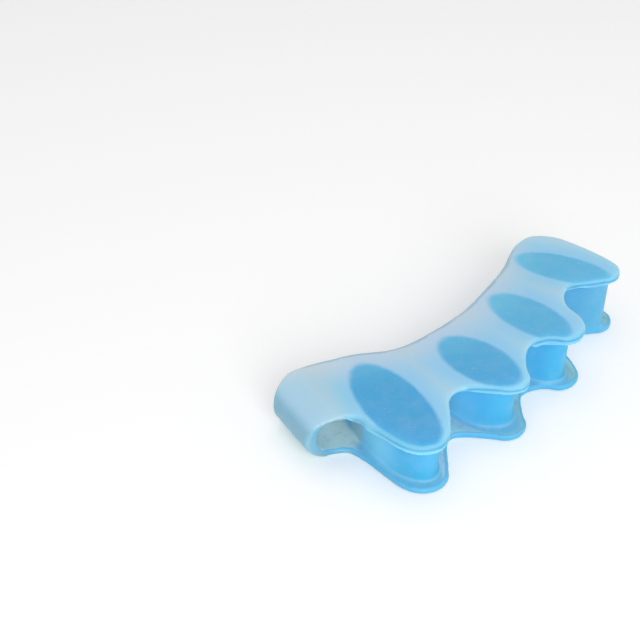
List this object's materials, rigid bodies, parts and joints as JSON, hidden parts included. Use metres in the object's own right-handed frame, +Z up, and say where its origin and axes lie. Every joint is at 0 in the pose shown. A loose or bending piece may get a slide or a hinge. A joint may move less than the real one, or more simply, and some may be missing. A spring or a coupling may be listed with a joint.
{
  "type": "toe separator",
  "caption": "Soft frosted silicone toe separator: thin scalloped sheets joined by solid oval pillars, with a closed loop for the big toe and an open little-toe end.",
  "frame": {"origin": "centre of the bounding box in plan, on the flat underside", "axes": "+X along the row of toes from the big-toe loop to the little-toe end, -Y the way the toes point, +Z up from the underside"},
  "size_m": [0.0934, 0.0422, 0.0163],
  "materials": {
    "frosted_silicone": "frosted translucent"
  },
  "bodies": {
    "root": {"toe_separator": "frosted_silicone"}
  },
  "joints": []
}
